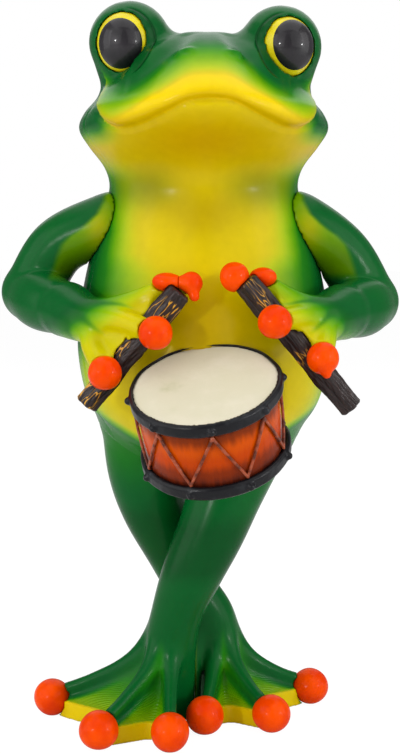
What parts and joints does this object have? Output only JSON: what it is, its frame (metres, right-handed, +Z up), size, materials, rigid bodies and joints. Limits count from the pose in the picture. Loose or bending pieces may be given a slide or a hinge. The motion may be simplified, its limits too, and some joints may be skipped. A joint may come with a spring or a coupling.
{
  "type": "garden animal statue",
  "caption": "Glossy painted resin frog that stands with crossed legs and webbed feet and plays a small laced drum with two twigs.",
  "frame": {"origin": "middle of the statue's box, on the ground under the feet", "axes": "+Z up, the frog looks along -Y, +X is the frog's left"},
  "size_m": [0.164, 0.1373, 0.2978],
  "materials": {
    "green_skin": "hand-painted gloss lacquer, deep green fading to yellow on the belly, hands and webs",
    "orange_paint": "gloss orange paint",
    "eye_yellow": "gloss yellow paint",
    "pupil_black": "high gloss black paint",
    "twig_bark": "bark texture, dark brown with fine gold strokes",
    "drum_orange": "orange sunburst, darker towards both hoops",
    "hoop_black": "black paint brushed with grey",
    "drum_skin": "cream paint, faintly stained",
    "lacing_paint": "brown cord lines with worn highlights"
  },
  "bodies": {
    "root": {"body": "green_skin", "right_eyeball": "eye_yellow", "right_pupil": "pupil_black", "left_eyeball": "eye_yellow", "left_pupil": "pupil_black", "right_arm": "green_skin", "right_little_finger_ball": "orange_paint", "right_ring_finger_ball": "orange_paint", "right_fore_finger_ball": "orange_paint", "right_thumb_finger_ball": "orange_paint", "right_drumstick": "twig_bark", "left_arm": "green_skin", "left_little_finger_ball": "orange_paint", "left_ring_finger_ball": "orange_paint", "left_fore_finger_ball": "orange_paint", "left_thumb_finger_ball": "orange_paint", "left_drumstick": "twig_bark", "left_leg": "green_skin", "left_inner_toe_ball": "orange_paint", "left_middle_toe_ball": "orange_paint", "left_outer_toe_ball": "orange_paint", "right_leg": "green_skin", "right_inner_toe_ball": "orange_paint", "right_middle_toe_ball": "orange_paint", "right_outer_toe_ball": "orange_paint", "drum_shell": "drum_orange", "drum_upper_skin": "drum_skin", "drum_lower_skin": "drum_skin", "drum_upper_hoop": "hoop_black", "drum_lower_hoop": "hoop_black", "drum_lacing": "lacing_paint"}
  },
  "joints": []
}
